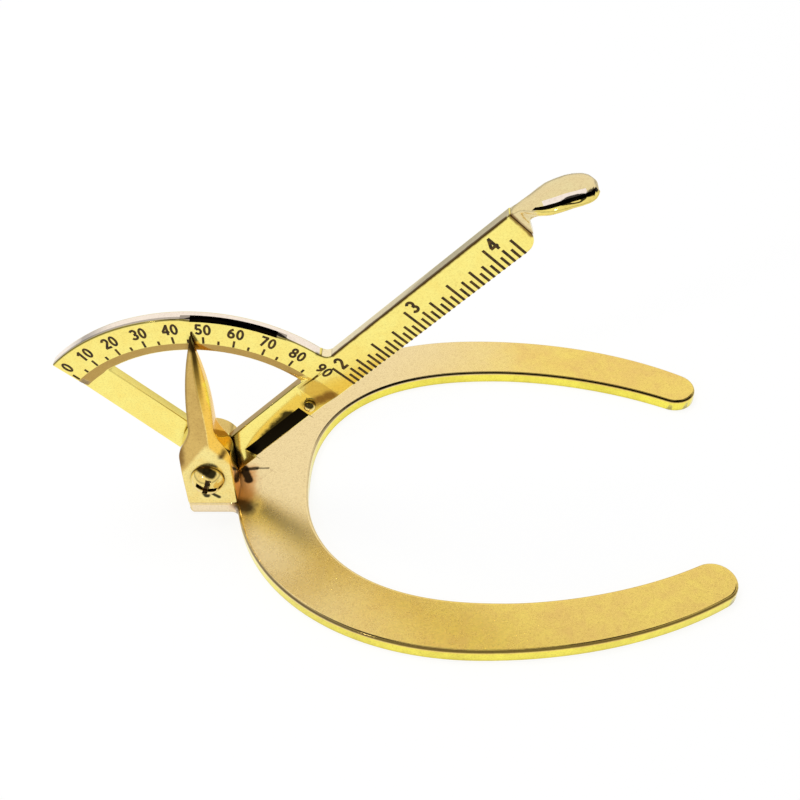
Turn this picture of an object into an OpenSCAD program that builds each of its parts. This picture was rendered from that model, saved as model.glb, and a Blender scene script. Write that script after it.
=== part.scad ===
// Hoof level gauge: a U-shaped brass plate with a pointer, a quadrant arm and an inch rule.
// Millimetres. The plate's underside is z = 0, the pivot axis crosses x = 0 and runs along Y,
// the plate is symmetric about y = 0, the heels point to +X and the scale faces -Y.

/* [Base plate] */
// Thickness of the plate
plate_t = 3.6; // [3:0.1:4.4]
// From the pivot axis to the outer edge of the toe
toe_x = 5.7; // [4.5:0.1:6.5]
// From the pivot axis to where the plate is widest
wide_x = 71; // [64:1:78]
// Half of the plate's greatest width
plate_half_w = 56.1; // [52:0.1:62]
// Width of a side limb where the plate is widest
limb_w = 14.6; // [12:0.1:17]
// Width of the plate at the toe
toe_w = 19.4; // [16:0.1:22]
// Fullness of the toe's outer curve, where 2 is an ellipse
toe_fullness = 2.1; // [2:0.05:2.4]
// Fullness of the toe's inner curve, where 2 is an ellipse
opening_fullness = 2.4; // [2.1:0.05:2.7]
// How far past the widest place the outer curve would close
heel_reach = 88; // [82:1:100]
// How far past its widest place the inner curve would close
opening_reach = 77; // [73:1:88]
// How far the opening is widest behind the plate's widest place
opening_shift = 6; // [2:0.5:9]
// From the pivot axis to the middle of the heels' round ends
heel_x = 129.4; // [118:0.2:134]

/* [Pivot and clevis] */
// Height of the pivot axis above the plate's top
pivot_h = 9.9; // [9.4:0.1:12]
// Width of the pointer block and of the rear cheek
clevis_w = 13.5; // [11:0.1:15]
// Depth of the pointer block
block_d = 6.6; // [6:0.1:8]
// Height of the block's shoulders above the pivot axis
shoulder_h = 6.6; // [5.6:0.1:8]
// Depth of the rear cheek
cheek_d = 5.3; // [5:0.1:7]
// Diameter of the pivot screw's plain shank
pivot_d = 5.0; // [4:0.1:5.4]
// Diameter of the pivot screw's threaded end
pivot_thread_d = 4.0; // [3:0.1:4.2]
// Diameter of the pivot screw's domed head
pivot_head_d = 9.0; // [7:0.1:9.6]
// Height of the pivot screw's domed head
pivot_head_h = 4.0; // [2.4:0.1:4.2]
// Running clearance around the shank, on the radius
running_gap = 0.04; // [0.02:0.01:0.08]

/* [Pointer] */
// Height of the pointer's tip above the pivot axis
pointer_h = 44.1; // [40:0.1:46]
// Height of the pointer's neck above the pivot axis
neck_h = 17.1; // [15:0.1:20]
// Half of the pointer's width at its neck
neck_half_w = 3.25; // [2.6:0.05:4]
// Half of the pointer's width at its tip
tip_half_w = 0.25; // [0.15:0.05:0.5]
// Thickness of the pointer's tip
tip_t = 0.8; // [0.5:0.05:1.2]
// Height above the pivot axis where the pointer's ridge meets the block's flat face
ridge_foot_h = 11.6; // [9:0.1:14]
// How far each facet falls back from the ridge for each millimetre sideways
facet_fall = 0.2; // [0.15:0.01:0.4]
// How far the pointer's ridge and tip stand towards the heels from the pivot axis
ridge_x = 1.2; // [0:0.1:1.5]
// Gap between the pointer's back and the scale's face
pointer_gap = 0.4; // [0.25:0.05:0.7]

/* [Quadrant arm] */
// Angle of the arm above the plate, as drawn
arm_angle = 44.6; // [0:0.2:90]
// Thickness of the arm at the scale and the rule
arm_t = 3.2; // [2.8:0.1:4]
// How far the scale's face stands in front of the plate's middle plane
face_offset = 2.5; // [2:0.1:3]
// Outer radius of the scale
scale_r = 48.9; // [47.5:0.1:52]
// Radius where the scale's face ends and its inner bevel starts
bevel_r = 41.3; // [40.6:0.1:42.5]
// Width of the scale's inner bevel
bevel_w = 2.8; // [1.5:0.1:4]
// How far the spokes lie behind the scale's face
spoke_recess = 0.6; // [0.4:0.05:1]
// Width of the spokes
spoke_w = 9.7; // [8.5:0.1:10.5]
// Radius of the hub
hub_r = 8.5; // [7:0.1:9.2]
// How far the arm's lower edge lies below the line from the pivot through the 90 mark
edge_drop = 8.5; // [7.5:0.1:9.2]
// Height of the rule's upper edge above that line
edge_rise = 1.8; // [1:0.1:2.6]
// Length of the arm from the pivot axis to the end of the rule
arm_l = 109.5; // [108:0.5:116]
// Radius of the rule's lower end corner
corner_r = 4; // [1:0.1:4.5]
// Length of the slope between a recessed spoke and the rule's face
ramp_l = 6; // [3:0.5:8]
// Length of the thumb tab
tab_l = 17.4; // [14:0.1:24]
// Width of the thumb tab
tab_w = 11.0; // [7:0.1:12]
// Thickness of the thumb tab
tab_t = 2.4; // [1.6:0.1:2.8]

/* [Stop pin] */
// From the pivot axis to the pin, along the arm
stop_x = 33.6; // [30:0.1:34]
// How far the pin stands above the arm's lower edge
stop_rise = 2.9; // [2.2:0.1:3.4]
// Diameter of the pin's head
stop_head_d = 3.0; // [2:0.1:3.4]
// Diameter of the pin's shank
stop_d = 1.8; // [1.2:0.1:1.9]
// How far the pin's head stands out of the spoke
stop_h = 1.8; // [1.4:0.1:2.2]

/* [Scales] */
// From the rule's zero to the pivot axis
rule_zero = 3.0; // [2:0.1:4]
// Least plain length of the rule after its last mark
rule_margin = 4; // [3.7:0.1:5]
// Length of an inch mark
inch_mark_l = 7.4; // [6:0.1:8]
// Length of a half inch mark
half_mark_l = 6.1; // [5:0.1:7]
// Length of a quarter inch mark
quarter_mark_l = 5.2; // [4:0.1:6]
// Length of an eighth inch mark
eighth_mark_l = 4.3; // [3:0.1:5]
// Length of a sixteenth inch mark
sixteenth_mark_l = 3.1; // [2:0.1:4]
// Width of the rule's marks
rule_mark_w = 0.65; // [0.3:0.05:0.8]
// Length of a ten degree mark
ten_mark_l = 2.0; // [1.4:0.1:2.4]
// Length of a five degree mark
five_mark_l = 1.1; // [0.7:0.1:1.4]
// Width of the degree marks
degree_mark_w = 0.55; // [0.25:0.05:0.7]
// Height of the degree numerals
degree_numeral_h = 3.2; // [2.4:0.1:3.6]
// From an inch mark to the middle of its numeral
numeral_offset = 2.6; // [2:0.1:3]
// Height of the inch numerals
inch_numeral_h = 3.8; // [3:0.1:4.2]
// Thickness of the black filling of the marks
ink_t = 0.06; // [0.04:0.01:0.1]

/* [Fixings] */
// Diameter of the base screws' shanks
base_screw_d = 2.8; // [2.4:0.1:3]
// Diameter of the base screws' countersunk heads
base_head_d = 5.0; // [4.4:0.1:5.2]
// How far the base screws reach above the plate's top
base_screw_reach = 5; // [4:0.1:5.4]
// Distance between the two screws under a clevis piece
base_screw_pitch = 7.2; // [6.2:0.1:8]
// Thickness of the friction spring's sheet
spring_t = 0.4; // [0.3:0.05:0.5]
// Free space between the arm's back and the rear cheek
spring_space = 0.8; // [0.7:0.05:1.2]
// Outer diameter of the pivot's washers
washer_d = 11; // [10:0.1:12.5]

/* [Hidden] */
$fn = 64;

brass = "goldenrod";
dull_brass = "darkgoldenrod";
steel = "silver";
ink = "#2a1c08";

// Heights and depths that pieces share
pivot_z = plate_t + pivot_h;
half_w = clevis_w / 2;
face_y = -face_offset;
back_y = face_y + arm_t;
spoke_y = face_y + spoke_recess;
block_back_y = face_y - pointer_gap;
block_front_y = block_back_y - block_d;
cheek_front_y = back_y + spring_space;
cheek_back_y = cheek_front_y + cheek_d;
slip = 0.02;
inch = 25.4;
rule_first = 2;
bore_gap = 0.05;
eps = 0.01;

// Plate curves
opening_x = wide_x + opening_shift;
opening_half_w = plate_half_w - limb_w;
toe_reach = wide_x - toe_x;
opening_toe_reach = opening_x - toe_x - toe_w;
heel_fullness = 2;
heel_opening_fullness = 1.8;
curve_steps = 60;

// Half width of a heel curve at x
function heel_y(x, mid, reach, wide, full) =
    wide * pow(1 - pow((x - mid) / reach, full), 1 / full);
function outer_y(x) = heel_y(x, wide_x, heel_reach, plate_half_w, heel_fullness);
function inner_y(x) = heel_y(x, opening_x, opening_reach, opening_half_w, heel_opening_fullness);

// The curve from one heel round the toe to the other heel, with x never past end_x
function horseshoe(mid, toe, heel, wide, toe_full, heel_full, end_x) =
    let (end_cos = pow((end_x - mid) / heel, heel_full / 2), end_a = 180 - acos(end_cos))
    [for (i = [-curve_steps:curve_steps])
        let (a = end_a * i / curve_steps, c = cos(a), s = sin(a), full = c > 0 ? toe_full : heel_full)
        [mid - (c > 0 ? toe : -heel) * pow(abs(c), 2 / full), wide * sign(s) * pow(abs(s), 2 / full)]];

// Round end of a limb, from the outer curve's end p to the inner curve's end q
function round_end(p, q, steps = 16) =
    let (mid = (p + q) / 2, r = norm(p - q) / 2, a = atan2(p[1] - mid[1], p[0] - mid[0]))
    [for (i = [1:steps - 1]) mid + r * [cos(a - 180 * i / steps), sin(a - 180 * i / steps)]];

// The toe's edge at y
function toe_edge(y) =
    wide_x - toe_reach * pow(1 - pow(abs(y) / plate_half_w, toe_fullness), 1 / toe_fullness);

// The hollow corner between the toe's edge and the tongue's side at y = side_y
function fillet(side_y, way, steps = 8) =
    let (r = tongue_fillet, mid_y = side_y + way * r,
        lean = atan(toe_edge(mid_y + 0.5) - toe_edge(mid_y - 0.5)),
        mid = [toe_edge(mid_y - r * sin(lean)) - r * cos(lean), mid_y])
    [for (i = [0:steps]) let (a = -lean - (90 * way - lean) * i / steps) mid + r * [cos(a), sin(a)]];

// The outer curve, led out round the tongue that carries the clevis
function with_tongue(points, front, rear) = concat(
    [for (p = points) if (p[1] < front - 1.2 * tongue_fillet) p], fillet(front, -1),
    [[-half_w, front], [-half_w, rear]], reversed(fillet(rear, 1)),
    [for (p = points) if (p[1] > rear + 1.2 * tongue_fillet) p]);

function flipped(points) = [for (i = [len(points) - 1:-1:0]) [points[i][0], -points[i][1]]];
function reversed(points) = [for (i = [len(points) - 1:-1:0]) points[i]];

heel_slope = (outer_y(heel_x + 1) - outer_y(heel_x - 1)) / 2;
heel_turn = -atan(heel_slope);
heel_r = (outer_y(heel_x) - inner_y(heel_x)) / 2 * cos(heel_turn);
outer_end_x = heel_x + heel_r * sin(heel_turn);
inner_end_x = heel_x - heel_r * sin(heel_turn);
outer_curve = horseshoe(wide_x, toe_reach, heel_reach, plate_half_w, toe_fullness, heel_fullness,
    outer_end_x);
inner_curve = horseshoe(opening_x, opening_toe_reach, opening_reach, opening_half_w, opening_fullness,
    heel_opening_fullness, inner_end_x);
heel_end = round_end([outer_end_x, outer_y(outer_end_x)], [inner_end_x, inner_y(inner_end_x)]);

// Clevis on the toe's tongue
tongue_fillet = 2.5;
tongue_chamfer = 1;
block_screw_y = (block_front_y + block_back_y) / 2;
cheek_screw_y = (cheek_front_y + cheek_back_y) / 2;
base_head_h = (base_head_d - base_screw_d) / 2;
base_head_sink = 0.1;
slot_w = 0.8;
slot_depth = 0.8;

// Pointer
shoulder_z = pivot_z + shoulder_h;
neck_z = pivot_z + neck_h;
tip_z = pivot_z + pointer_h;
ridge_foot_z = pivot_z + ridge_foot_h;
taper = 2.3;
ridge_lean = atan((block_d - tip_t) / (tip_z - ridge_foot_z));

// Arm, in its own plane: x along the arm, y towards the scale, z towards the viewer
front = -face_y;
back = -back_y;
spoke_front = -spoke_y;
bevel_end_r = bevel_r - bevel_w;
spoke_top = spoke_w - edge_drop;
spoke_root_x = -3.6;
spoke_end_x = -1.2;
scale_end_x = -0.9;
rule_start = stop_x + stop_head_d / 2 + ramp_l + 1;
stop_y = stop_rise - edge_drop;
notch_r = 2;
spoke_bevel_w = 4.2;
spoke_bevel_t = 0.5;
tab_rise = edge_rise - 0.1;
tab_steps = 22;
tab_sides = 20;

// Sizes of the thumb tab's sections, as shares of its length from the rule's end:
// its upper line, half its width, half its thickness, its shift towards the scale's side and
// how full its sections are, from a rectangle near 0 to an ellipse at 1
tab_line = [[0, tab_rise], [0.08, tab_rise], [0.18, tab_rise - 0.4], [0.37, tab_rise - 1.2],
    [0.49, tab_rise - 1.8], [0.6, tab_rise - 2.6], [0.71, tab_rise - 3.5], [0.81, tab_rise - 4.6],
    [0.9, tab_rise - 5.9], [1, tab_rise - 7.7]];
tab_half = [[0, arm_t / 2], [0.1, arm_t / 2], [0.2, tab_w * 0.25], [0.37, tab_w * 0.4],
    [0.49, tab_w * 0.48], [0.6, tab_w * 0.5], [0.71, tab_w * 0.5], [0.81, tab_w * 0.485],
    [0.9, tab_w * 0.43], [0.96, tab_w * 0.33], [1, tab_w * 0.16]];
tab_thick = [[0, 3.8], [0.06, 2.8], [0.12, 2], [0.2, tab_t * 0.7], [0.37, tab_t * 0.55],
    [0.6, tab_t / 2], [0.9, tab_t / 2], [1, tab_t * 0.3]];
tab_shift = [[0, 0], [0.2, 0.2], [0.4, 0.3], [0.6, 0.3], [0.71, 0.1], [0.81, -0.05], [0.9, -0.45], [1, -0.7]];
tab_full = [[0, 0.25], [0.3, 0.7]];

// Puts a shape drawn in the arm's plane where the arm stands
module on_arm() {
    translate([0, 0, pivot_z]) rotate([0, -arm_angle, 0]) rotate([90, 0, 0]) children();
}

// A solid of revolution about the pivot axis, its profile's y counted from y = start towards +Y
module about_pivot(start) {
    translate([0, start, pivot_z]) rotate([-90, 0, 0]) rotate_extrude() children();
}

// A bore along the pivot axis
module pivot_bore(r, start, end) {
    translate([0, start, pivot_z]) rotate([-90, 0, 0]) cylinder(r = r, h = end - start);
}

// Screw places under one clevis piece
module base_screw_places(y) {
    for (side = [-1, 1]) translate([side * base_screw_pitch / 2, y, 0]) children();
}

module base_screw_shape(gap) {
    head_top = base_head_sink + base_head_h;
    translate([0, 0, base_head_sink])
        cylinder(r1 = base_head_d / 2 + gap, r2 = base_screw_d / 2 + gap, h = base_head_h);
    translate([0, 0, head_top - eps])
        cylinder(r = base_screw_d / 2 + gap, h = plate_t + base_screw_reach + gap - head_top + eps);
}

module base_screw_holes(y) {
    base_screw_places(y) {
        base_screw_shape(bore_gap);
        translate([0, 0, -1]) cylinder(r = base_head_d / 2 + bore_gap, h = 1 + base_head_sink + eps);
    }
}

module base_plate() {
    color(brass) difference() {
        linear_extrude(plate_t)
            polygon(concat(with_tongue(outer_curve, block_front_y, cheek_back_y), heel_end,
                reversed(inner_curve), flipped(heel_end)));
        translate([-half_w, 0, 0]) rotate([90, 0, 0])
            linear_extrude(4 * clevis_w, center = true)
                polygon([[-1, -1], [tongue_chamfer + 1, -1], [-1, tongue_chamfer + 1]]);
        base_screw_holes(block_screw_y);
        base_screw_holes(cheek_screw_y);
    }
}

// Half of the block's and the pointer's width at height z
function pointer_half(z) =
    z < neck_z
    ? let (sweep = cos(180 * (z - shoulder_z) / (neck_z - shoulder_z)))
        (half_w + neck_half_w + (half_w - neck_half_w) * sweep) / 2
    : max(tip_half_w, neck_half_w * (1 - pow((z - neck_z) / (tip_z - neck_z), taper)));

// One side of the block and the pointer, 1 for the right and -1 for the left
function pointer_side(way, steps = 10) =
    let (shoulder = [for (i = [0:steps]) shoulder_z + (neck_z - shoulder_z) * i / steps],
        blade = [for (i = [1:steps]) neck_z + (tip_z - neck_z) * i / steps])
    concat([[way * half_w, plate_t]], [for (z = concat(shoulder, blade))
        [way * pointer_half(z) + ridge_x * (z - shoulder_z) / (tip_z - shoulder_z), z]]);

module pointer_block() {
    color(brass) difference() {
        intersection() {
            translate([0, block_back_y, 0]) rotate([90, 0, 0])
                linear_extrude(block_d)
                    polygon(concat(pointer_side(1), reversed(pointer_side(-1))));
            rotate([90, 0, 90]) linear_extrude(clevis_w + 2, center = true)
                polygon([[block_front_y, plate_t], [block_back_y, plate_t], [block_back_y, tip_z],
                    [block_back_y - tip_t, tip_z], [block_front_y, ridge_foot_z]]);
            translate([ridge_x, block_front_y, ridge_foot_z]) rotate([-ridge_lean, 0, 0])
                linear_extrude(3 * pointer_h, center = true)
                    polygon([[0, 0], [clevis_w, clevis_w * facet_fall], [clevis_w, 3 * block_d],
                        [-clevis_w, 3 * block_d], [-clevis_w, clevis_w * facet_fall]]);
        }
        pivot_bore(pivot_d / 2 + bore_gap, block_front_y - 1, block_back_y + 1);
        base_screw_holes(block_screw_y);
    }
}

module rear_cheek() {
    color(brass) difference() {
        union() {
            pivot_bore(half_w, cheek_front_y, cheek_back_y);
            translate([-half_w, cheek_front_y, plate_t]) cube([clevis_w, cheek_d, pivot_h]);
        }
        pivot_bore(pivot_thread_d / 2 + slip, cheek_front_y - 1, cheek_back_y + 1);
        base_screw_holes(cheek_screw_y);
    }
}

module base_screws() {
    color(dull_brass)
        for (y = [block_screw_y, cheek_screw_y])
            base_screw_places(y) difference() {
                base_screw_shape(0);
                translate([0, 0, base_head_sink + slot_depth / 2 - eps])
                    cube([base_head_d + 1, slot_w, slot_depth], center = true);
            }
}

module arm_outline_bar(from, to, low, high) {
    translate([from, low]) square([to - from, high - low]);
}

module scale_band() {
    intersection() {
        rotate([0, 0, -8]) rotate_extrude(angle = 106, $fn = 128)
            polygon([[bevel_end_r, back], [scale_r, back], [scale_r, front], [bevel_r, front],
                [bevel_end_r, spoke_front]]);
        translate([scale_end_x, 0, back - 1]) cube([2 * scale_r, 2 * scale_r, arm_t + 2]);
    }
}

module rule_profile() {
    polygon([[0, back], [arm_l, back], [arm_l, front], [rule_start, front],
        [rule_start - ramp_l, spoke_front], [0, spoke_front]]);
}

module quadrant_arm() {
    color(brass) on_arm() difference() {
        union() {
            scale_band();
            // Hub and left spoke
            translate([0, 0, back]) linear_extrude(spoke_front - back) {
                circle(hub_r);
                polygon([[spoke_root_x, 0], [spoke_root_x + spoke_w, 0],
                    [spoke_end_x + spoke_w - 1, bevel_end_r + 1], [spoke_end_x, bevel_end_r + 1]]);
            }
            // Right spoke, slope and rule as one bar
            intersection() {
                rotate([90, 0, 0]) linear_extrude(4 * edge_drop, center = true) rule_profile();
                translate([0, 0, back - 1]) linear_extrude(arm_t + 2) difference() {
                    union() {
                        arm_outline_bar(0, scale_r, -edge_drop, spoke_top);
                        arm_outline_bar(bevel_r, arm_l, -edge_drop, edge_rise);
                        translate([scale_r - 1, edge_rise - eps]) difference() {
                            square([notch_r + 1, notch_r]);
                            translate([notch_r + 1, notch_r]) circle(notch_r);
                        }
                    }
                    translate([arm_l - corner_r, -edge_drop]) difference() {
                        translate([0, -1]) square([corner_r + 1, corner_r + 1]);
                        translate([0, corner_r]) circle(corner_r);
                    }
                }
            }
        }
        // Shallow bevel on the right spoke's lower half
        translate([hub_r, -edge_drop, spoke_front]) rotate([90, 0, 90])
            linear_extrude(stop_x - stop_head_d - hub_r)
                polygon([[-1, -spoke_bevel_t], [0, -spoke_bevel_t], [spoke_bevel_w, 0], [spoke_bevel_w, 1],
                    [-1, 1]]);
        translate([0, 0, back - 1]) cylinder(r = pivot_d / 2 + running_gap, h = arm_t + 2);
        translate([stop_x, stop_y, back - 1]) cylinder(r = stop_d / 2 + slip, h = arm_t + 2);
    }
}

// Ring of points of the thumb tab at share s of its length
function tab_ring(s) =
    let (half = lookup(s, tab_half), thick = lookup(s, tab_thick), full = lookup(s, tab_full),
        mid_y = lookup(s, tab_line) - thick, mid_z = (front + back) / 2 + lookup(s, tab_shift))
    [for (i = [0:tab_sides - 1])
        let (a = 360 * i / tab_sides, c = cos(a), d = sin(a))
        [arm_l + tab_l * s, mid_y + thick * sign(d) * pow(abs(d), full),
            mid_z + half * sign(c) * pow(abs(c), full)]];

module thumb_tab() {
    shares = [for (i = [0:tab_steps]) 1 - pow(1 - i / tab_steps, 1.25)];
    points = [for (s = shares) each tab_ring(s)];
    last = tab_steps * tab_sides;
    walls = [for (k = [0:tab_steps - 1], i = [0:tab_sides - 1])
        let (j = (i + 1) % tab_sides, a = k * tab_sides, b = a + tab_sides)
        each [[a + i, b + i, b + j], [a + i, b + j, a + j]]];
    caps = [[for (i = [0:tab_sides - 1]) i], [for (i = [tab_sides - 1:-1:0]) last + i]];
    color(brass) on_arm() polyhedron(points, concat(walls, caps), convexity = 4);
}

module pivot_screw() {
    dome_r = (pow(pivot_head_d / 2, 2) + pow(pivot_head_h, 2)) / (2 * pivot_head_h);
    recess_l = pivot_head_d * 0.6;
    recess_w = 1.3;
    recess_depth = 1.9;
    color(brass) difference() {
        union() {
            translate([0, block_front_y, pivot_z]) rotate([90, 0, 0]) rotate_extrude()
                intersection() {
                    translate([0, pivot_head_h - dome_r]) circle(dome_r);
                    square([pivot_head_d / 2, pivot_head_h]);
                }
            pivot_bore(pivot_d / 2, block_front_y - eps, cheek_front_y - slip);
            pivot_bore(pivot_thread_d / 2, cheek_front_y - 1, cheek_back_y - 0.4);
        }
        for (turn = [20, 110])
            translate([0, block_front_y - pivot_head_h, pivot_z]) rotate([0, turn, 0])
                cube([recess_l, 2 * recess_depth, recess_w], center = true);
    }
}

module front_washer() {
    color(dull_brass) about_pivot(block_back_y)
        translate([pivot_d / 2 + bore_gap, 0])
            square([(washer_d - pivot_d) / 2 - bore_gap, spoke_y - block_back_y - slip]);
}

module disc_spring() {
    rise = spring_space - 2 * slip;
    inner = pivot_d / 2 + bore_gap;
    outer = washer_d / 2;
    color(steel) about_pivot(back_y + slip)
        polygon([[inner, rise - spring_t], [outer, 0], [outer, spring_t], [inner, rise]]);
}

module stop_pin() {
    r = stop_head_d / 2;
    dome_h = 1.1;
    dome_r = (r * r + dome_h * dome_h) / (2 * dome_h);
    color(brass) on_arm() translate([stop_x, stop_y, 0]) {
        translate([0, 0, spoke_front]) rotate_extrude() {
            square([r, stop_h - dome_h]);
            intersection() {
                translate([0, stop_h - dome_r]) circle(dome_r);
                square([r, stop_h]);
            }
        }
        translate([0, 0, back]) cylinder(r = stop_d / 2, h = spoke_front - back + eps);
    }
}

// Numeral shapes: x from 0 to about 0.56, y from 0 to 1, scaled by the numeral's height
stroke = 0.19;
numeral_pitch = 0.66;

function arc(mid, r, from, to, steps = 10) =
    [for (i = [0:steps])
        let (a = from + (to - from) * i / steps) [mid[0] + r[0] * cos(a), mid[1] + r[1] * sin(a)]];

function offset_side(path, d) =
    [for (i = [0:len(path) - 1])
        let (a = path[max(i - 1, 0)], b = path[min(i + 1, len(path) - 1)], t = (b - a) / norm(b - a))
        path[i] + d * [-t[1], t[0]]];

module ribbon(path) {
    polygon(concat(offset_side(path, stroke / 2), reversed(offset_side(path, -stroke / 2))));
}

module loop(mid, r) {
    half = [stroke / 2, stroke / 2];
    difference() {
        polygon(arc(mid, r + half, 0, 345, 23));
        polygon(arc(mid, r - half, 0, 345, 23));
    }
}

module six() {
    loop([0.28, 0.3], [0.2, 0.23]);
    ribbon(arc([0.52, 0.34], [0.44, 0.58], 180, 105));
}

module numeral(n) {
    if (n == 0) loop([0.28, 0.5], [0.2, 0.425]);
    if (n == 1) {
        ribbon([[0.1, 0.72], [0.34, 0.92]]);
        ribbon([[0.33, 0], [0.33, 1]]);
    }
    if (n == 2) {
        ribbon(arc([0.28, 0.7], [0.2, 0.225], 170, -35));
        ribbon([[0.46, 0.58], [0.08, 0.07]]);
        ribbon([[0.02, 0.075], [0.54, 0.075]]);
    }
    if (n == 3) {
        ribbon(arc([0.26, 0.71], [0.2, 0.215], 155, -90));
        ribbon(arc([0.26, 0.285], [0.22, 0.21], 90, -155));
    }
    if (n == 4) {
        ribbon([[0.4, 0], [0.4, 1]]);
        ribbon([[0.4, 0.94], [0.05, 0.31]]);
        ribbon([[0, 0.285], [0.56, 0.285]]);
    }
    if (n == 5) {
        ribbon([[0.5, 0.925], [0.1, 0.925]]);
        ribbon([[0.15, 0.96], [0.11, 0.5]]);
        ribbon(arc([0.27, 0.31], [0.21, 0.235], 135, -150));
    }
    if (n == 6) six();
    if (n == 7) {
        ribbon([[0.03, 0.925], [0.54, 0.925]]);
        ribbon([[0.5, 0.95], [0.2, 0]]);
    }
    if (n == 8) {
        loop([0.28, 0.72], [0.17, 0.205]);
        loop([0.28, 0.285], [0.205, 0.21]);
    }
    if (n == 9) translate([0.56, 1]) rotate(180) six();
}

// A whole number, centred on its own width and height
module number(value, height) {
    digits = value < 10 ? [value] : [floor(value / 10), value % 10];
    width = numeral_pitch * (len(digits) - 1) + 0.56;
    scale(height) for (i = [0:len(digits) - 1])
        translate([i * numeral_pitch - width / 2, -0.5]) numeral(digits[i]);
}

module inked() {
    color(ink) on_arm() translate([0, 0, front]) linear_extrude(ink_t) children();
}

numeral_r = bevel_r + ten_mark_l + 0.9 + degree_numeral_h / 2;

module degree_marks() {
    inked() for (value = [0:5:90])
        rotate(90 - value) translate([bevel_r + 0.1, -degree_mark_w / 2])
            square([value % 10 == 0 ? ten_mark_l : five_mark_l, degree_mark_w]);
}

module degree_numerals() {
    inked() for (value = [0:10:90])
        rotate(90 - value - (value == 0 ? 1.5 : 0)) translate([numeral_r, 0]) rotate(-90)
            number(value, degree_numeral_h);
}

// Length of the mark that stands a number of sixteenths past an inch
function rule_mark_l(step) =
    step % 16 == 0 ? inch_mark_l
    : step % 8 == 0 ? half_mark_l
    : step % 4 == 0 ? quarter_mark_l
    : step % 2 == 0 ? eighth_mark_l
    : sixteenth_mark_l;

function rule_mark_x(step) = inch * (rule_first + step / 16) - rule_zero;

// Sixteenths that fit on the rule after its first mark
rule_steps = floor(16 * ((arm_l - rule_margin + rule_zero) / inch - rule_first));

module inch_marks() {
    inked() for (step = [0:rule_steps])
        translate([rule_mark_x(step) - rule_mark_w / 2, 0.1 - edge_drop])
            square([rule_mark_w, rule_mark_l(step)]);
}

module inch_numerals() {
    mid_y = edge_rise - 1.2 - inch_numeral_h / 2;
    inked() for (step = [0:16:rule_steps])
        translate([rule_mark_x(step) + numeral_offset, mid_y])
            number(rule_first + step / 16, inch_numeral_h);
}

base_plate();
pointer_block();
rear_cheek();
base_screws();
quadrant_arm();
thumb_tab();
pivot_screw();
front_washer();
disc_spring();
stop_pin();
degree_marks();
degree_numerals();
inch_marks();
inch_numerals();
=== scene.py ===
from math import atan2, cos, degrees, pi, radians, sin

import bmesh
import bpy
from mathutils import Matrix, Vector


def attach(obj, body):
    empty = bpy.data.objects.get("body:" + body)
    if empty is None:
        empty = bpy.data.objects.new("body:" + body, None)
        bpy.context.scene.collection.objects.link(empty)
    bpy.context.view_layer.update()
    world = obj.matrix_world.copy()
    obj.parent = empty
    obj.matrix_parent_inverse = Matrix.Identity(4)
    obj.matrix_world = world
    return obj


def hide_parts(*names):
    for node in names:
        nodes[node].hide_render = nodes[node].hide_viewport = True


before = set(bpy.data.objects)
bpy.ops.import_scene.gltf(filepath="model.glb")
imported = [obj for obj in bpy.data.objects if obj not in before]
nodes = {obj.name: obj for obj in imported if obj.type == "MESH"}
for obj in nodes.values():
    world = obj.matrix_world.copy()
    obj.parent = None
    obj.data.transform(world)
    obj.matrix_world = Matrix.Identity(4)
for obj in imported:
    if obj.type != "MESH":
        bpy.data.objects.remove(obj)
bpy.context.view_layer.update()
scene = bpy.context.scene
MM = 0.001

# Values that the solids are built with, in millimetres
PLATE_T = 3.6
PIVOT_Z = PLATE_T + 9.9
ARM_ANGLE = radians(44.6)
ARM_COS = cos(ARM_ANGLE)
ARM_SIN = sin(ARM_ANGLE)
RULE_DEGREES = degrees(ARM_ANGLE)
FACE_Y = -2.5
SPOKE_Y = FACE_Y + 0.6
BACK_Y = 0.7
SCALE_R = 48.9
BLOCK_BACK_Y = -2.9
BLOCK_FRONT_Y = -9.5
HALF_W = 6.75
SHOULDER_Z = PIVOT_Z + 6.6
NECK_Z = PIVOT_Z + 17.1
TIP_Z = PIVOT_Z + 44.1
RIDGE_FOOT_Z = PIVOT_Z + 11.6
RIDGE_X = 1.2
TIP_T = 0.8
NECK_W = 3.25
TIP_W = 0.25
FACET_FALL = 0.2
SCREW_MID = Vector((0, -8.97, PIVOT_Z))
TAB_START = 109.5
TAB_L = 17.4

# Shares of the thumb tab's length, each with its half width or its shift to the front, in millimetres
TAB_HALF = (
    (0, 1.6), (0.1, 1.6), (0.2, 2.75), (0.37, 4.4), (0.49, 5.28), (0.6, 5.5), (0.71, 5.5), (0.81, 5.34),
    (0.9, 4.73), (0.96, 3.63), (1.01, 1.7),
)
TAB_SHIFT = (
    (0, 0), (0.2, 0.2), (0.4, 0.3), (0.6, 0.3), (0.71, 0.1), (0.81, -0.05), (0.9, -0.45), (1.01, -0.7),
)

# Heights of the surface's fine relief, in metres
PIT_H = 0.0000035
SPECKLE_H = 0.0000022
SCRATCH_H = 0.0000016
WAVE_H = 0.00006
FILLING_H = 0.00003

# To tell the arm's faces apart: reaches in millimetres, start in degrees, levels from 0, sideways, to 1
HUB_REACH = 9
WINDOW_REACH = 34
SLOPE_REACH = 44
RIM_REACH = 47
RIM_START = 50
SIDE_LEVEL = 0.4
FLAT_LEVEL = 0.9995


def srgb(r, g, b):
    """A colour written in 0 to 255 as it should appear, as linear values."""
    out = []
    for v in (r, g, b):
        v /= 255
        out.append(v / 12.92 if v <= 0.04045 else ((v + 0.055) / 1.055) ** 2.4)
    return (*out, 1.0)


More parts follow.
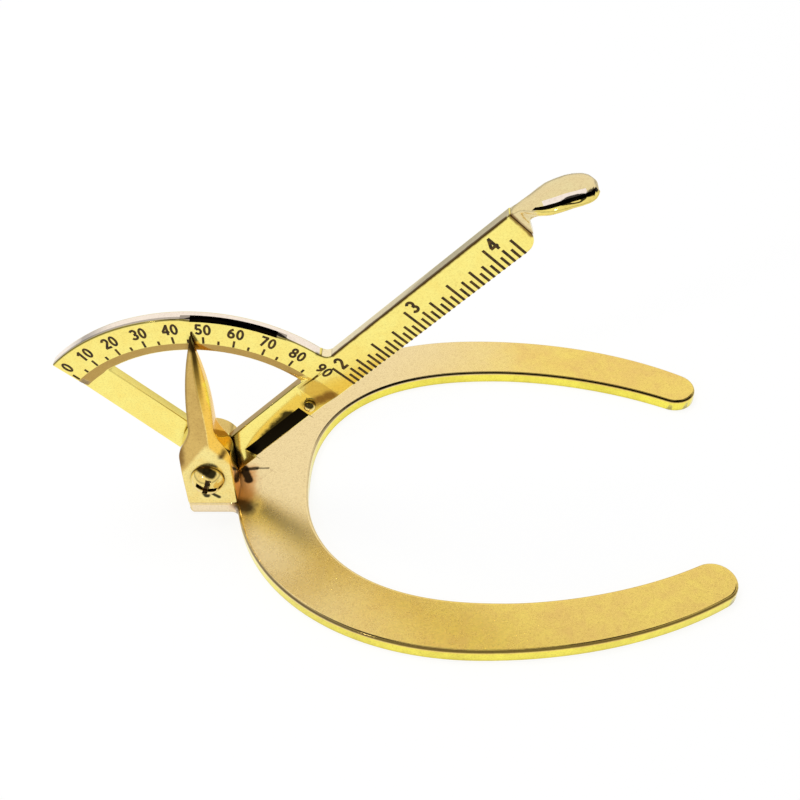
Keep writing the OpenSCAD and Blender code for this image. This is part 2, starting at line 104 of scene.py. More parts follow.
WHITE = (1, 1, 1, 1)
STAIN = srgb(128, 84, 34)
BROWN = srgb(112, 66, 22)
# Black for painted shadows and painted dark reflections
PAINTED_DARK = srgb(16, 10, 5)
# Dirt and painted shade in corners and hollows
CORNER_DIRT_AND_SHADE = srgb(70, 45, 18)
# Orange for the painted reflection on the pointer's right facet
WARM = srgb(250, 196, 62)
# Near white for painted highlights
PAINTED_HIGHLIGHT = srgb(248, 235, 224)
# Brown and black of the painted dark line: dark reflections, and shade in the screw's recess
PAINTED_DARK_REFLECTION = srgb(52, 36, 10)
PAINTED_BLACK_REFLECTION = srgb(12, 8, 4)


# Camera, at the place the photograph was taken from
def place_camera():
    az, el, roll = radians(3.04), radians(44.32), radians(-2.3)
    position = Vector((62.17, -211.58, 236.23 + PLATE_T)) * MM
    focal_px, picture_px, sensor = 1158.1, 800, 36
    forward = Vector((-sin(az) * cos(el), cos(az) * cos(el), -sin(el)))
    right = forward.cross(Vector((0, 0, 1))).normalized()
    up = right.cross(forward)
    right, up = cos(roll) * right + sin(roll) * up, cos(roll) * up - sin(roll) * right
    data = bpy.data.cameras.new("camera")
    data.sensor_fit = "HORIZONTAL"
    data.sensor_width = sensor
    data.lens = sensor * focal_px / picture_px
    data.clip_start = 0.01
    camera = bpy.data.objects.new("camera", data)
    scene.collection.objects.link(camera)
    turn = Matrix((right, up, -forward)).transposed().to_4x4()
    camera.matrix_world = Matrix.Translation(position) @ turn
    scene.camera = camera


place_camera()
scene.view_settings.view_transform = "Standard"


# Node helpers
class Tree:
    def __init__(self, owner):
        """Empties the nodes of a material or a world, to be built anew."""
        owner.use_nodes = True
        self.tree = owner.node_tree
        self.tree.nodes.clear()

    def put(self, value, socket):
        """Links another node's output to a socket, or gives the socket a plain value."""
        if isinstance(value, bpy.types.NodeSocket):
            self.tree.links.new(value, socket)
        else:
            socket.default_value = value

    def node(self, kind, inputs=None, **settings):
        made = self.tree.nodes.new(kind)
        for key, value in settings.items():
            setattr(made, key, value)
        for key, value in (inputs or {}).items():
            self.put(value, made.inputs[key])
        return made

    def math(self, operation, a, b=0.0, clamp=False):
        return self.node("ShaderNodeMath", {0: a, 1: b}, operation=operation, use_clamp=clamp).outputs[0]

    def add(self, a, b):
        return self.math("ADD", a, b)

    def times(self, a, b):
        return self.math("MULTIPLY", a, b)

    def vector(self, operation, inputs, output="Value"):
        return self.node("ShaderNodeVectorMath", inputs, operation=operation).outputs[output]

    def ramp(self, value, low, high, to_low=0.0, to_high=1.0):
        return self.node(
            "ShaderNodeMapRange",
            {"Value": value, "From Min": low, "From Max": high, "To Min": to_low, "To Max": to_high},
            interpolation_type="SMOOTHSTEP",
        ).outputs[0]

    def mix(self, factor, a, b):
        made = self.node("ShaderNodeMix", data_type="RGBA", blend_type="MIX")
        for index, value in ((0, factor), (6, a), (7, b)):
            self.put(value, made.inputs[index])
        return made.outputs[2]

    def noise(self, place, scale, detail, rough, distortion=0.0):
        inputs = {"Vector": place, "Scale": scale, "Detail": detail, "Roughness": rough}
        return self.node("ShaderNodeTexNoise", {**inputs, "Distortion": distortion}).outputs["Fac"]

    def bump(self, height):
        return self.node("ShaderNodeBump", {"Height": height, "Strength": 1.0, "Distance": 1.0}).outputs[0]


def new_material(name):
    material = bpy.data.materials.new(name)
    tree = Tree(material)
    shader = tree.node("ShaderNodeBsdfPrincipled")
    tree.node("ShaderNodeOutputMaterial", {"Surface": shader.outputs[0]})
    place = tree.node("ShaderNodeTexCoord").outputs["Object"]
    return material, tree, shader, place


def near_line(tree, place, uneven, start, end, core, reach, strength):
    """A value that is strength up to core from the line between two places, and 0 from reach on."""
    start, end = Vector(start) * MM, Vector(end) * MM
    run = end - start
    from_start = tree.vector("SUBTRACT", {0: place, 1: start}, "Vector")
    share = tree.vector("DOT_PRODUCT", {0: from_start, 1: run / run.length_squared})
    share = tree.math("ADD", share, 0.0, clamp=True)
    foot = tree.vector("SCALE", {0: run, "Scale": share}, "Vector")
    away = tree.vector("DISTANCE", {0: from_start, 1: foot})
    size = min(reach, 2 * (reach - core)) * 0.8 * MM
    away = tree.add(away, tree.times(tree.math("SUBTRACT", uneven, 0.5), size))
    return tree.ramp(away, core * MM, reach * MM, strength, 0.0)


def brass(name, base, deep, rough, spread, mottle, pits, wave, dirt_and_shade, grain=0.0, grain_turn=(0, 0, 0),
          other=None, pale=None, halos=()):
    """Worked brass: mottled colour, brown stains, fine scratches, waves from hand filing, dirt and painted
    shade in corners.

    The mesh carries marks: tone turns it to the other colour, the painted shade and painted reflection of
    faces turned a certain way, warm to orange, a painted reflection, polish makes it smoother, bright
    paints a highlight near white, and line paints dark reflections on rounded edges and shade in hollows.
    Halos are stains, painted shadows and painted reflections near a line between two places, even up to
    core and gone at reach.
    """
    material, tree, shader, place = new_material(name)

    def mark(key):
        made = tree.node("ShaderNodeAttribute", attribute_name=key, attribute_type="GEOMETRY")
        return made.outputs["Fac"]

    large = tree.noise(place, 55, 4, 0.6, 0.4)
    small = tree.noise(place, 420, 3, 0.6)
    speckle = tree.noise(place, 2100, 2, 0.7)
    tone = tree.add(tree.times(large, 0.6), tree.times(small, 0.4))
    tone = tree.ramp(tone, 0.5 - 0.14 / mottle, 0.5 + 0.14 / mottle)
    color = tree.mix(tone, base, deep)
    # Painted reflection: the colour turns paler towards the left and the back
    if pale:
        pale_color, near, far = pale
        along = tree.node("ShaderNodeSeparateXYZ", {0: place}).outputs
        reach = tree.add(along[0], tree.times(tree.math("SUBTRACT", large, 0.5), 0.03))
        reach = tree.math("SUBTRACT", reach, tree.times(along[1], 0.35))
        color = tree.mix(tree.ramp(reach, near * MM, far * MM, 1.0, 0.0), color, pale_color)
    if other:
        # Painted shade and painted reflection: tone turns faces to the other colour
        color = tree.mix(mark("tone"), color, tree.mix(tone, other, tree.mix(0.25, other, STAIN)))
    # Painted reflection: warm turns the colour orange
    color = tree.mix(mark("warm"), color, WARM)
    # Painted highlight: bright turns the colour near white
    color = tree.mix(mark("bright"), color, PAINTED_HIGHLIGHT)
    color = tree.mix(tree.ramp(speckle, 0.42, 0.75, 0.0, 0.22 * mottle + 0.05), color, STAIN)
    spots = tree.ramp(tree.noise(place, 130, 5, 0.65, 0.6), 0.66, 0.8)
    color = tree.mix(tree.times(spots, 0.5), color, STAIN)
    stains_and_painted_marks = spots
    # Halos: stains, painted shadows and painted reflections
    for *shape, tint in halos:
        ring = near_line(tree, place, small, *shape)
        color = tree.mix(ring, color, tint)
        stains_and_painted_marks = tree.math("MAXIMUM", stains_and_painted_marks, ring)
    # Painted dark reflection and shade: line turns the colour brown, then black
    line = mark("line")
    color = tree.mix(line, color, PAINTED_DARK_REFLECTION)
    color = tree.mix(tree.ramp(line, 0.88, 0.97), color, PAINTED_BLACK_REFLECTION)
    # Dirt and painted shade: darker in corners and hollows, by ambient occlusion
    hollow = tree.node("ShaderNodeAmbientOcclusion", {"Distance": 1.6 * MM}, samples=8, inside=False)
    color = tree.mix(tree.ramp(hollow.outputs["AO"], 0.35, 0.95, dirt_and_shade, 0.0), color, CORNER_DIRT_AND_SHADE)
    tree.put(color, shader.inputs["Base Color"])
    tree.put(1.0, shader.inputs["Metallic"])

    matt = tree.math("SUBTRACT", 1.0, tree.times(mark("polish"), 0.6))
    wear = tree.add(tree.add(tree.times(stains_and_painted_marks, 0.22), tree.times(small, spread)), rough)
    tree.put(tree.times(wear, matt), shader.inputs["Roughness"])
    height = tree.add(tree.times(small, PIT_H * pits), tree.times(speckle, SPECKLE_H * pits))
    if grain:
        inputs = {"Vector": place, "Scale": (60, 5200, 5200), "Rotation": grain_turn}
        stretched = tree.node("ShaderNodeMapping", inputs).outputs[0]
        height = tree.add(height, tree.times(tree.noise(stretched, 1.0, 3, 0.6), SCRATCH_H * grain))
    height = tree.times(height, matt)
    height = tree.add(height, tree.times(tree.noise(place, 95, 2, 0.4), WAVE_H * wave))
    tree.put(tree.bump(height), shader.inputs["Normal"])
    return material


def black_filling():
    material, tree, shader, place = new_material("black_filling")
    worn = tree.ramp(tree.noise(place, 900, 3, 0.6), 0.35, 0.75)
    tree.put(tree.mix(worn, srgb(46, 32, 12), srgb(118, 88, 34)), shader.inputs["Base Color"])
    tree.put(tree.ramp(worn, 0, 1, 0.5, 0.75), shader.inputs["Roughness"])
    tree.put(0.25, shader.inputs["Specular IOR Level"])
    tree.put(tree.bump(tree.times(worn, FILLING_H)), shader.inputs["Normal"])
    return material


def spring_steel():
    material, tree, shader, place = new_material("spring_steel")
    tone = tree.noise(place, 500, 3, 0.6)
    tree.put(tree.mix(tone, srgb(150, 150, 152), srgb(196, 196, 198)), shader.inputs["Base Color"])
    tree.put(1.0, shader.inputs["Metallic"])
    tree.put(tree.ramp(tone, 0.2, 0.8, 0.25, 0.45), shader.inputs["Roughness"])
    return material


def on_arm(along, across, y):
    """A place given along and across the arm, in millimetres."""
    return (along * ARM_COS - across * ARM_SIN, y, PIVOT_Z + along * ARM_SIN + across * ARM_COS)


def on_plate(x, y):
    return (x, y, PLATE_T)


# Halos are start, end, core, reach, strength and tint
SEAM = (on_arm(109.5, 2.2, FACE_Y), on_arm(109.2, -5.6, FACE_Y), 0.2, 0.9, 0.85, BROWN)
# The other colour is a painted bright reflection on the plate's sides, and pale a painted reflection
# towards its left and back
plate_brass = brass(
    "plate_brass", srgb(250, 223, 116), srgb(242, 206, 118), rough=0.24, spread=0.06, mottle=0.7, pits=1.0,
    wave=0.08, dirt_and_shade=0.35, grain=0.6, other=srgb(255, 242, 98), pale=(srgb(246, 223, 168), 24, 84),
    halos=[
        # Painted reflection of the block's side, orange
        (on_plate(7.5, -8), on_plate(7.5, 1), 1.2, 5, 0.6, srgb(216, 126, 28)),
        # Painted shade beside the hub: a black blob and a thin spike
        (on_plate(6.9, 3.0), on_plate(8.7, -1.2), 0.8, 1.5, 0.95, PAINTED_DARK),
        (on_plate(7.6, 2.8), on_plate(10.4, 3.1), 0.3, 0.9, 0.9, PAINTED_DARK),
        (on_plate(10.4, 3.1), on_plate(13.6, 3.2), 0.05, 0.5, 0.7, PAINTED_DARK),
        # Painted dark reflection in front of the block's right corner
        (on_plate(7.2, -10.2), on_plate(9.6, -11), 0.8, 3.6, 0.9, srgb(58, 42, 12)),
    ])
# The arm's other colour is painted shade on slopes and the walls of the window
polished_brass = brass(
    "polished_brass", srgb(255, 244, 142), srgb(252, 228, 122), rough=0.11, spread=0.05, mottle=0.5,
    pits=0.5, wave=0.2, dirt_and_shade=0.5, grain=0.5, grain_turn=(0, ARM_ANGLE, 0), other=srgb(190, 158, 88),
    halos=[
        # Painted dark reflection along the lower edge where the spoke meets the rule
        (on_arm(33.6, -5.6, FACE_Y), on_arm(40.5, -7.0, FACE_Y), 0.65, 2.6, 0.8, BROWN),
        SEAM,
        # Painted dark reflections and shade: dark spots where the rim starts and where the right spoke
        # leaves the hub, a brown line along the rule's top edge, the black hub beside the block and a black
        # band over the right spoke
        (on_arm(49.3, 4.6, FACE_Y), on_arm(50.4, 3.3, FACE_Y), 0.4, 1.4, 0.9, PAINTED_DARK),
        (on_arm(51, 1.8, -2.2), on_arm(108, 1.8, -2.2), 0.3, 0.7, 0.9, srgb(92, 56, 12)),
        (on_arm(0, 0, SPOKE_Y), on_arm(0, 0.1, SPOKE_Y), 7.7, 8.7, 0.95, PAINTED_DARK),
        (on_arm(9.2, -6.8, SPOKE_Y), on_arm(10.4, -8, SPOKE_Y), 0.6, 1.5, 0.95, PAINTED_DARK),
        (on_arm(15.5, -6, SPOKE_Y), on_arm(27, -4.4, SPOKE_Y), 1.2, 2.6, 0.95, PAINTED_DARK),
    ])
# The tab's other colour is the painted yellow reflection under its rolled edge
tab_brass = brass(
    "tab_brass", srgb(236, 222, 168), srgb(232, 210, 158), rough=0.13, spread=0.06, mottle=0.6,
    pits=0.6, wave=0.35, dirt_and_shade=0.4, other=srgb(255, 236, 132), halos=[SEAM])
# The other colour is painted shade: the pointer's left facet and the cheek
cast_brass = brass(
    "cast_brass", srgb(250, 232, 152), srgb(246, 216, 128), rough=0.13, spread=0.07, mottle=0.8,
    pits=0.7, wave=0.5, dirt_and_shade=0.6, other=srgb(218, 184, 106),
    halos=[
        # Painted dark reflections: the left edge at the shoulder, the tip and the right shoulder
        ((-6.5, -9, 24.5), (-6.6, -8, 18.5), 0.6, 2.4, 0.75, srgb(104, 66, 24)),
        ((1.7, -4.2, 55.6), (1.2, -3.4, 58), 0.8, 2.4, 0.95, srgb(26, 16, 8)),
        ((5.7, -9.2, 23.4), (4.5, -9.5, 21.6), 0.05, 1.5, 0.92, srgb(52, 26, 10)),
        # Painted reflection, yellow, on the right facet
        ((3.4, -5.2, 44), (5.6, -8, 29), 0.5, 1.6, 0.8, srgb(255, 240, 70)),
        # Painted shadow under the screw head
        ((-1.9, -9.5, 8.2), (-1.2, -9.5, 6.9), 0.6, 1.2, 0.95, PAINTED_DARK),
        ((-0.2, -9.5, 8.1), (1.9, -9.5, 6.2), 0.25, 0.8, 0.95, PAINTED_DARK),
    ])
screw_brass = brass(
    "screw_brass", srgb(248, 226, 140), srgb(236, 204, 118), rough=0.07, spread=0.05, mottle=0.8,
    pits=0.5, wave=0.3, dirt_and_shade=0.95,
    halos=[
        # Painted dark reflections: over the screw's dome, a line below its highlight, down both its sides,
        # and round the stop pin
        ((-1.3, -9.6, 17.8), (1.6, -11.2, 17.2), 0.9, 1.8, 0.97, PAINTED_DARK),
        ((-2.4, -10.9, 14.1), (1.8, -11, 13.9), 0.2, 0.55, 0.95, PAINTED_DARK),
        ((-4.3, -9.6, 14.6), (-3.2, -9.8, 10.4), 0.15, 0.7, 0.9, PAINTED_DARK),
        ((4.3, -9.6, 15.2), (4.1, -9.8, 10.9), 0.1, 0.6, 0.85, srgb(70, 44, 14)),
        (on_arm(33.9, -3.9, -3.0), on_arm(34.7, -5.2, -3.4), 0.6, 1.2, 0.95, PAINTED_DARK),
    ])
filling = black_filling()
steel = spring_steel()


# Mesh helpers
def add_piece(name, mesh, body, material, slot, *replaced):
    piece = bpy.data.objects.new(name, mesh)
    scene.collection.objects.link(piece)
    mesh.materials.clear()
    mesh.materials.append(material)
    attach(piece, body)
    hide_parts(*replaced)
    return piece


def finish_mesh(bm, mesh, sharp):
    """Splits large faces into triangles, and shades the mesh smooth but for edges over sharp degrees."""
    bmesh.ops.triangulate(bm, faces=[f for f in bm.faces if len(f.verts) > 4])
    bm.to_mesh(mesh)
    bm.free()
    mesh.shade_smooth()
    mesh.set_sharp_from_angle(angle=radians(sharp))


def smooth(value, low, high):
    t = min(1, max(0, (value - low) / (high - low)))
    return t * t * (3 - 2 * t)


def marks(tone=0, polish=0, bright=0, line=0):
    """A face's marks, in the order that eased keeps them in."""
    return tone, polish, bright, line


def eased(node, name, body, material, slot, width, segments, sharp=30, keep=None, zones=None, shape=None,
          dark_line=None):
    """A node's own shape with its edges over sharp degrees rounded off by width, in millimetres.

    shape changes the mesh first and keep picks the edges. zones gives a face's marks. The rounded edges are
    polished, with a painted dark line, a dark reflection strongest where they face the front at about 45
    degrees, which the last argument can change.
    """
    mesh = nodes[node].data.copy()
    bm = bmesh.new()
    bm.from_mesh(mesh)
    bmesh.ops.remove_doubles(bm, verts=bm.verts, dist=2e-7)
    bmesh.ops.dissolve_limit(bm, angle_limit=radians(0.3), verts=bm.verts, edges=bm.edges)
    if shape:
        shape(bm)
    layers = {key: bm.faces.layers.float.new(key) for key in ("tone", "polish", "bright", "line")}
    edges = [e for e in bm.edges if len(e.link_faces) == 2 and e.calc_face_angle(0) > radians(sharp)
             and (keep is None or keep(e))]
    for face in bm.faces:
        for key, value in zip(layers, zones(face) if zones else marks()):
            face[layers[key]] = value
    rounded = bmesh.ops.bevel(bm, geom=edges, offset=width * MM, offset_type="OFFSET", segments=segments,
                              profile=0.5, affect="EDGES", clamp_overlap=False)["faces"]
    bm.normal_update()
    for face in rounded:
        level = (face.normal.x ** 2 + face.normal.y ** 2) ** 0.5
        facing = smooth(-face.normal.y / max(level, 1e-6), -0.1, 0.8)
        off_middle = abs(degrees(atan2(face.normal.z, level)) - 45)
        # Painted dark reflection, strongest on faces that face the front and slope near 45 degrees
        line = (0.12 + 0.72 * facing) * smooth(off_middle, 36, 14)
        face[layers["tone"]] = face[layers["bright"]] = 0
        face[layers["polish"]] = 1
        face[layers["line"]] = dark_line(face.calc_center_median(), line) if dark_line else line
    finish_mesh(bm, mesh, 38)
    piece = add_piece(name, mesh, body, material, slot, node)
    flat = piece.modifiers.new("flat_faces", "WEIGHTED_NORMAL")
    flat.keep_sharp = True


# Plate
def plate_zones(face):
    """Sides painted with a bright reflection round a satin top, and a tongue painted paler, a painted
    highlight.
    """
    if abs(face.normal.z) > 0.5:
        return marks()
    on_tongue = face.calc_center_median().x < 7 * MM
    return marks(polish=1, bright=0.35) if on_tongue else marks(tone=1, polish=1)


def plate_edges(edge):
    """The outline's upper edges and the tongue's corners, but no screw hole."""
    a, b = edge.verts[0].co / MM, edge.verts[1].co / MM
    if max(abs(a.x), abs(b.x)) < 6.5 and min(a.y, b.y) > -9.3 and max(a.y, b.y) < 6.6:
        return False
    return min(a.z, b.z) > PLATE_T - 0.1 or abs(a.z - b.z) > PLATE_T - 1.2


def plate_line(place, line):
    """No painted dark line round the tongue, and a stronger one on the limb at the back."""
    return line * smooth(place.x, 6.4 * MM, 7.6 * MM) * (1.16 if place.y > 0 else 1)


# Arm
def from_pivot(place):
    """Distance from the pivot in millimetres and angle in degrees of a place on the arm."""
    x, z = place.x / MM, place.z / MM - PIVOT_Z
    return (x * x + z * z) ** 0.5, degrees(atan2(z, x))


def over_top(angle):
    """How far a place on the rim is over the top of the scale, where its front is filed and painted with a
    dark reflection.
    """
    return smooth(angle, 58, 64) * smooth(angle, 92, 88)


def on_rim(vert):
    return abs(from_pivot(vert.co)[0] - SCALE_R) < 0.05


def slant_rim(bm):
    """The front half of the scale's rim is filed to a slope over its top, deepest at the face."""
    slope, depth = 0.28, 1.6
    cross = [e for e in bm.edges if on_rim(e.verts[0]) and on_rim(e.verts[1])
             and abs(e.verts[0].co.y - e.verts[1].co.y) > 3 * MM]
    bmesh.ops.subdivide_edges(bm, edges=cross, cuts=5, use_grid_fill=True)
    for v in bm.verts:
        if on_rim(v):
            reach, angle = from_pivot(v.co)
            keep = 1 - slope * over_top(angle) * max(0, FACE_Y + depth - v.co.y / MM) / reach
            v.co.x *= keep
            v.co.z = PIVOT_Z * MM + (v.co.z - PIVOT_Z * MM) * keep


def arm_edges(edge):
    """All but those at the step under the scale's left end, which is too short to be rounded."""
    ends = [from_pivot(v.co) for v in edge.verts]
    return not any(38.4 < reach < 39.6 and angle > RULE_DEGREES + 91.1 for reach, angle in ends)


def arm_zones(face):
    """The slope of the right spoke and the wall of the hub are painted black, a painted dark reflection.

    Other slopes and the walls of the window are dull, painted shade, but bright at the left spoke, a
    painted highlight. Rim and rule have pale sides, painted highlights.
    """
    place = face.calc_center_median()
    reach, angle = from_pivot(place)
    past_rule = angle - RULE_DEGREES
    right_spoke, left_spoke = abs(past_rule) < 40, past_rule > 70
    facing = abs(face.normal.y)
    if SIDE_LEVEL < facing < FLAT_LEVEL and face.normal.y < 0 and reach < SLOPE_REACH:
        if right_spoke and reach < 32:
            return marks(polish=1, line=0.97)
        if left_spoke and reach < 36:
            return marks(tone=0.1, polish=1, bright=0.5)
        return marks(tone=0.4, polish=0.4) if past_rule < 3 else marks(tone=1)
    if facing >= SIDE_LEVEL:
        recessed = abs(place.y / MM - FACE_Y) > 0.3
        return marks(polish=0.6) if recessed else marks()
    if reach < HUB_REACH:
        return marks(line=0.9)
    outward = face.normal.x * cos(radians(angle)) + face.normal.z * sin(radians(angle))
    if outward < 0.3 and reach < RIM_REACH:
        if reach > WINDOW_REACH:
            return marks(tone=0.8)
        return marks(tone=0.1, polish=1) if left_spoke else marks(tone=1, line=0.2)
    if reach > RIM_REACH and angle > RIM_START:
        return marks(polish=1, bright=0.95, line=rim_line(place, 0))
    return marks(polish=1, bright=0.6)


def rim_line(place, line):
    """The black streak along the front of the rim, over the top, and a thinner brown one to its left, both
    painted dark reflections.

    The lines of the left spoke are faint.
    """
    reach, angle = from_pivot(place)
    if reach < 37 and angle > 110:
        return 0.25 * line
    if reach < RIM_REACH or angle < RIM_START or place.y > (FACE_Y + 1.7) * MM:
        return line
    brown = 0.5 if angle > 92 and place.y < (FACE_Y + 1.1) * MM else 0
    return max(line, 0.97 * over_top(angle), brown)


# Screw
def screw_zones(face):
    """The cross recess is painted dark, as grime and painted shade."""
    place = face.calc_center_median() / MM
    inside = (place - SCREW_MID).length < 4.25 and place.y < BLOCK_FRONT_Y - 0.1
    return marks(line=0.95) if inside else marks()


# Thumb tab
def between(points, share):
    """The value at a share, from points of share and value."""
    for (before, low), (after, high) in zip(points, points[1:]):
        if share < after:
            return low + (high - low) * (share - before) / (after - before)
    return 1


def along_tab(place):
    """Share of the thumb tab's length, and how far across it towards the front, 1 at its edge."""
    along = place.x / MM * ARM_COS + (place.z / MM - PIVOT_Z) * ARM_SIN
    share = (along - TAB_START) / TAB_L
    middle = (FACE_Y + BACK_Y) / 2 - between(TAB_SHIFT, share)
    return share, (middle - place.y / MM) / between(TAB_HALF, share)


def bend_tab(bm):
    """The tab's front edge is rolled over."""
    for v in bm.verts:
        share, across = along_tab(v.co)
        drop = 0.9 * smooth(across, 0.35, 1.0) * smooth(share, 0.2, 0.45)
        v.co += Vector((ARM_SIN, 0, -ARM_COS)) * drop * MM


def tab_zones(face):
    """Paints the white, black and yellow stripes that the rolled edge mirrors in the photograph."""
    share, across = along_tab(face.calc_center_median())
    up = -face.normal.x * ARM_SIN + face.normal.z * ARM_COS
    if share < 0.3 or across < 0.5:
        return marks()
    if up < 0 or across > 0.86:
        return marks(tone=1, polish=1)
    if across > 0.68:
        return marks(polish=1, line=0.97)
    return marks(polish=1, bright=1) if 0.44 < share < 0.9 else marks()


# Pointer block
def half_width(z):
    if z < SHOULDER_Z:
        return HALF_W
    if z < NECK_Z:
        turn = pi * (z - SHOULDER_Z) / (NECK_Z - SHOULDER_Z)
        return (HALF_W + NECK_W + (HALF_W - NECK_W) * cos(turn)) / 2
    return max(TIP_W, NECK_W * (1 - ((z - NECK_Z) / (TIP_Z - NECK_Z)) ** 2.3))


def leaning(z):
    return RIDGE_X * max(0, z - SHOULDER_Z) / (TIP_Z - SHOULDER_Z)


def ridge_y(z):
    """The ridge leans back, and a little more towards the tip, which is rounded over."""
    t = (z - RIDGE_FOOT_Z) / (TIP_Z - RIDGE_FOOT_Z)
    fall = BLOCK_BACK_Y - TIP_T - BLOCK_FRONT_Y
    return BLOCK_FRONT_Y + fall * (0.84 * t + (0.16 * t ** 7 if t > 0 else 0))


def block_front(x, z):
    """The flat front below, and above it two facets that fall away from the ridge."""
    off = ((x - RIDGE_X) ** 2 + 0.02) ** 0.5
    facet = ridge_y(z) + FACET_FALL * off - 0.02
    gap = facet - BLOCK_FRONT_Y
    return BLOCK_FRONT_Y + 0.5 * (gap + (gap * gap + 0.03) ** 0.5)


def block_row(z, inset=0.0):
    """Points round the block at a height, from the front's left, with rounded corners."""
    front_steps, side_steps, corner_steps = 44, 6, 5
    half, mid = half_width(z) - inset, leaning(z)
    back = BLOCK_BACK_Y - inset
    r = min(0.45, 0.4 * half, 0.35 * (back - block_front(mid, z)))
    right_y = block_front(mid + half - r, z) + inset
    left_y = block_front(mid - half + r, z) + inset
    points = []

    def corner(x, y, start):
        for i in range(corner_steps + 1):
            a = radians(start + 90 * i / corner_steps)
            points.append((mid + x + r * cos(a), y + r * sin(a)))

    for i in range(1, front_steps):
        x = -half + r + (2 * half - 2 * r) * i / front_steps
        points.append((mid + x, block_front(mid + x, z) + inset))
    corner(half - r, right_y + r, -90)
    for i in range(1, side_steps):
        points.append((mid + half, right_y + r + (back - right_y - 2 * r) * i / side_steps))
    corner(half - r, back - r, 0)
    for i in range(1, side_steps):
        points.append((mid + half - r - (2 * half - 2 * r) * i / side_steps, back))
    corner(-half + r, back - r, 90)
    for i in range(1, side_steps):
        points.append((mid - half, back - r - (back - left_y - 2 * r) * i / side_steps))
    corner(-half + r, left_y + r, 180)
    return [(x, y, z) for x, y in points]


def block_marks(x, y, z):
    """Marks of a place on the block, all painted light and shade: dull left facet and warm right facet as
    painted reflections, dark ridge and outline as painted dark reflections, and a dark gap as painted
    shade.
    """
    front = y < block_front(x, z) + 0.5
    above = min(1, max(0, (y - BLOCK_FRONT_Y - 0.08) / 0.15))
    bound = RIDGE_X + 0.7 * smooth(z, 46, 30)
    left = front and smooth(x, bound, bound - 0.3) > 0.5
    ridge = smooth(abs(x - RIDGE_X - 0.5), 1.1, 0.3) * smooth(z, 33, 52) if front else 0
    outline = smooth(half_width(z) + x - leaning(z), 0.8, 0.2) * smooth(z, 20, 30)
    gap = smooth(x, 4.5, 6.2) * smooth(y, -8.2, -6.8) * smooth(z, 10.5, 12.5) * smooth(z, 24, 21)
    return {
        "tone": above * (1.0 if left else 0.15),
        "warm": max(0.75 * above * smooth(x, bound - 0.2, bound + 0.2), 0.7 * ridge),
        "polish": 0.5 * above,
        "line": max(0.92 * ridge, 0.4 * outline, 0.95 * gap),
    }


def pointer_block():
    """The block and pointer in one, with soft edges, as rows of points from the tongue to the tip."""
    foot, top, steps = 0.25, 0.15, 150
    climb = TIP_Z - top - PLATE_T - foot
    rows = [block_row(PLATE_T, 0.18), block_row(PLATE_T + 0.07, 0.06)]
    rows += [block_row(PLATE_T + foot + climb * i / steps) for i in range(steps + 1)]
    rows.append(block_row(TIP_Z, 0.1))
    bm = bmesh.new()
    layers = {key: bm.verts.layers.float.new(key) for key in ("tone", "warm", "polish", "line")}
    rings = []
    for row in rows:
        ring = []
        for x, y, z in row:
            vert = bm.verts.new((x * MM, y * MM, z * MM))
            for key, value in block_marks(x, y, z).items():
                vert[layers[key]] = value
            ring.append(vert)
        rings.append(ring)
    for a, b in zip(rings, rings[1:]):
        for i in range(len(a)):
            j = (i + 1) % len(a)
            bm.faces.new((a[i], a[j], b[j], b[i]))
    bm.faces.new(list(reversed(rings[0])))
    bm.faces.new(rings[-1])
    bmesh.ops.recalc_face_normals(bm, faces=bm.faces)
    mesh = bpy.data.meshes.new("pointer")
    finish_mesh(bm, mesh, 60)
    add_piece("pointer", mesh, "base", cast_brass, "cast_brass", "pointer_block")


# Pieces
eased("base_plate", "plate", "base", plate_brass, "plate_brass", width=0.85, segments=6,
      keep=plate_edges, zones=plate_zones, dark_line=plate_line)
eased("quadrant_arm", "arm", "arm", polished_brass, "polished_brass", width=0.35, segments=3,
      keep=arm_edges, zones=arm_zones, shape=slant_rim, dark_line=rim_line)
# The cheek is painted in the duller other colour all over, as painted shade
eased("rear_cheek", "cheek", "base", cast_brass, "cast_brass", width=0.5, segments=3,
      zones=lambda face: marks(tone=0.7))
eased("pivot_screw", "screw", "base", screw_brass, "screw_brass", width=0.12, segments=2, zones=screw_zones)
eased("stop_pin", "pin", "arm", screw_brass, "screw_brass", width=0.1, segments=2)
eased("thumb_tab", "tab", "arm", tab_brass, "polished_brass", width=0.1, segments=2, sharp=60,
      zones=tab_zones, shape=bend_tab)
pointer_block()

for node, material in (("base_screws", screw_brass), ("front_washer", screw_brass), ("disc_spring", steel),
                       ("degree_marks", filling), ("degree_numerals", filling), ("inch_marks", filling),
                       ("inch_numerals", filling)):
    held = nodes[node]
    if not held.material_slots:
        held.data.materials.append(material)
    for material_slot in held.material_slots:
        material_slot.material = material


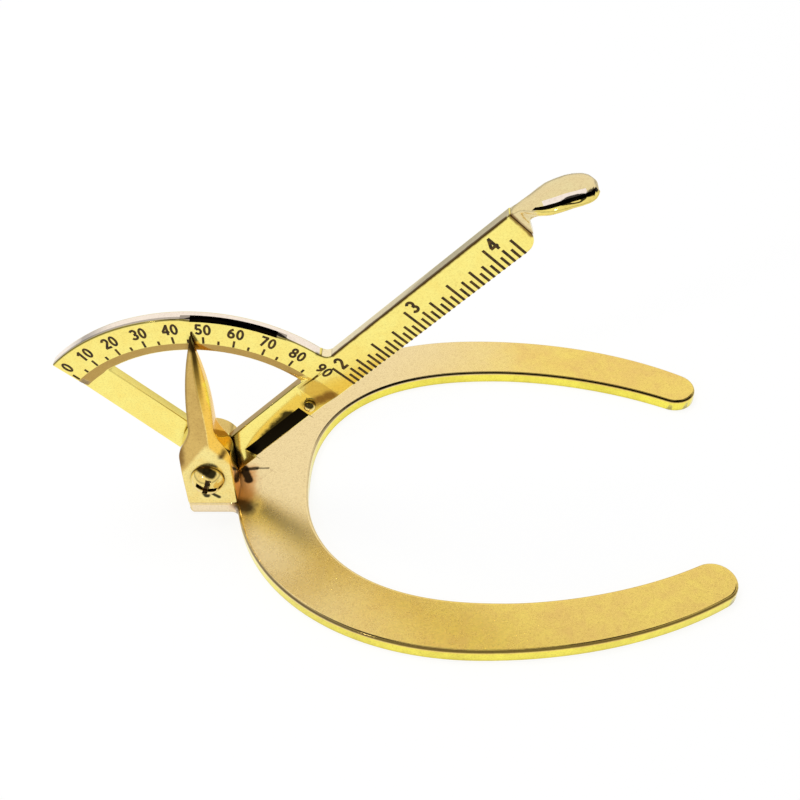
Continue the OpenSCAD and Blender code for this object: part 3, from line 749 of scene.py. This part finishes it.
# Floor, light and surroundings
def floor():
    """A floor that looks white and takes the object's shadow."""
    mesh = bpy.data.meshes.new("floor")
    bm = bmesh.new()
    bmesh.ops.create_grid(bm, x_segments=8, y_segments=8, size=3.0)
    bm.to_mesh(mesh)
    bm.free()
    made = bpy.data.objects.new("floor", mesh)
    made.location.z = -0.2 * MM
    scene.collection.objects.link(made)
    material = bpy.data.materials.new("floor")
    tree = Tree(material)
    diffuse = tree.node("ShaderNodeBsdfDiffuse", {"Color": (0.86, 0.86, 0.86, 1)})
    white = tree.node("ShaderNodeEmission", {"Color": WHITE, "Strength": 1.09})
    path = tree.node("ShaderNodeLightPath").outputs
    place = tree.node("ShaderNodeTexCoord").outputs["Object"]
    away = tree.vector("LENGTH", {0: place})
    mirrored = tree.times(path["Is Glossy Ray"], tree.ramp(away, 0.25, 0.6, 1.0, 0.45))
    seen = tree.math("MAXIMUM", path["Is Camera Ray"], mirrored)
    seen = tree.math("MAXIMUM", seen, path["Is Transmission Ray"])
    lit = tree.times(seen, 0.78)
    mixed = tree.node("ShaderNodeMixShader", {0: lit, 1: diffuse.outputs[0], 2: white.outputs[0]})
    tree.node("ShaderNodeOutputMaterial", {"Surface": mixed.outputs[0]})
    mesh.materials.append(material)


def surroundings():
    """White all round, with the dark places that the photograph's brass mirrors in glossy rays only."""
    world = bpy.data.worlds.new("studio")
    scene.world = world
    tree = Tree(world)

    def light(color, strength):
        return tree.node("ShaderNodeBackground", {"Color": color, "Strength": strength}).outputs[0]

    way = tree.node("ShaderNodeTexCoord").outputs["Generated"]
    height = tree.node("ShaderNodeSeparateXYZ", {0: way}).outputs[2]
    ring = tree.times(tree.ramp(height, 0.895, 0.915), tree.ramp(height, 0.985, 0.975))
    to_side = tree.vector("DOT_PRODUCT", {0: way, 1: Vector((0.5, 0.36, 0.79)).normalized()})
    side = tree.ramp(to_side, cos(radians(14)), cos(radians(10)))
    dark = tree.times(tree.math("MAXIMUM", ring, side), 0.96)
    wall = tree.mix(tree.ramp(height, 0.0, 0.3), (0.5, 0.5, 0.5, 1), (1.0, 0.985, 0.96, 1))
    mirror = light(tree.mix(dark, wall, (0.015, 0.012, 0.01, 1)), 1.0)
    path = tree.node("ShaderNodeLightPath").outputs
    seen = tree.math("MAXIMUM", path["Is Camera Ray"], path["Is Transmission Ray"])
    inner = tree.node("ShaderNodeMixShader", {0: path["Is Glossy Ray"], 1: light(WHITE, 0.55), 2: mirror})
    outer = tree.node("ShaderNodeMixShader", {0: seen, 1: inner.outputs[0], 2: light(WHITE, 1.0)})
    tree.node("ShaderNodeOutputWorld", {"Surface": outer.outputs[0]})


def lamp(name, place, aim, size, watts, mirrored):
    data = bpy.data.lights.new(name, "AREA")
    data.shape = "DISK"
    data.size = size
    data.energy = watts
    made = bpy.data.objects.new(name, data)
    scene.collection.objects.link(made)
    made.visible_glossy = mirrored
    made.location = place
    made.rotation_euler = (Vector(aim) - Vector(place)).to_track_quat("-Z", "Y").to_euler()


floor()
surroundings()
lamp("overhead", (-0.25, 0.25, 1.2), (0.05, 0, 0), size=0.7, watts=4.2, mirrored=False)
lamp("spot", (-0.35, -0.5, 0.55), (0.0, 0, 0.01), size=0.06, watts=0.35, mirrored=True)
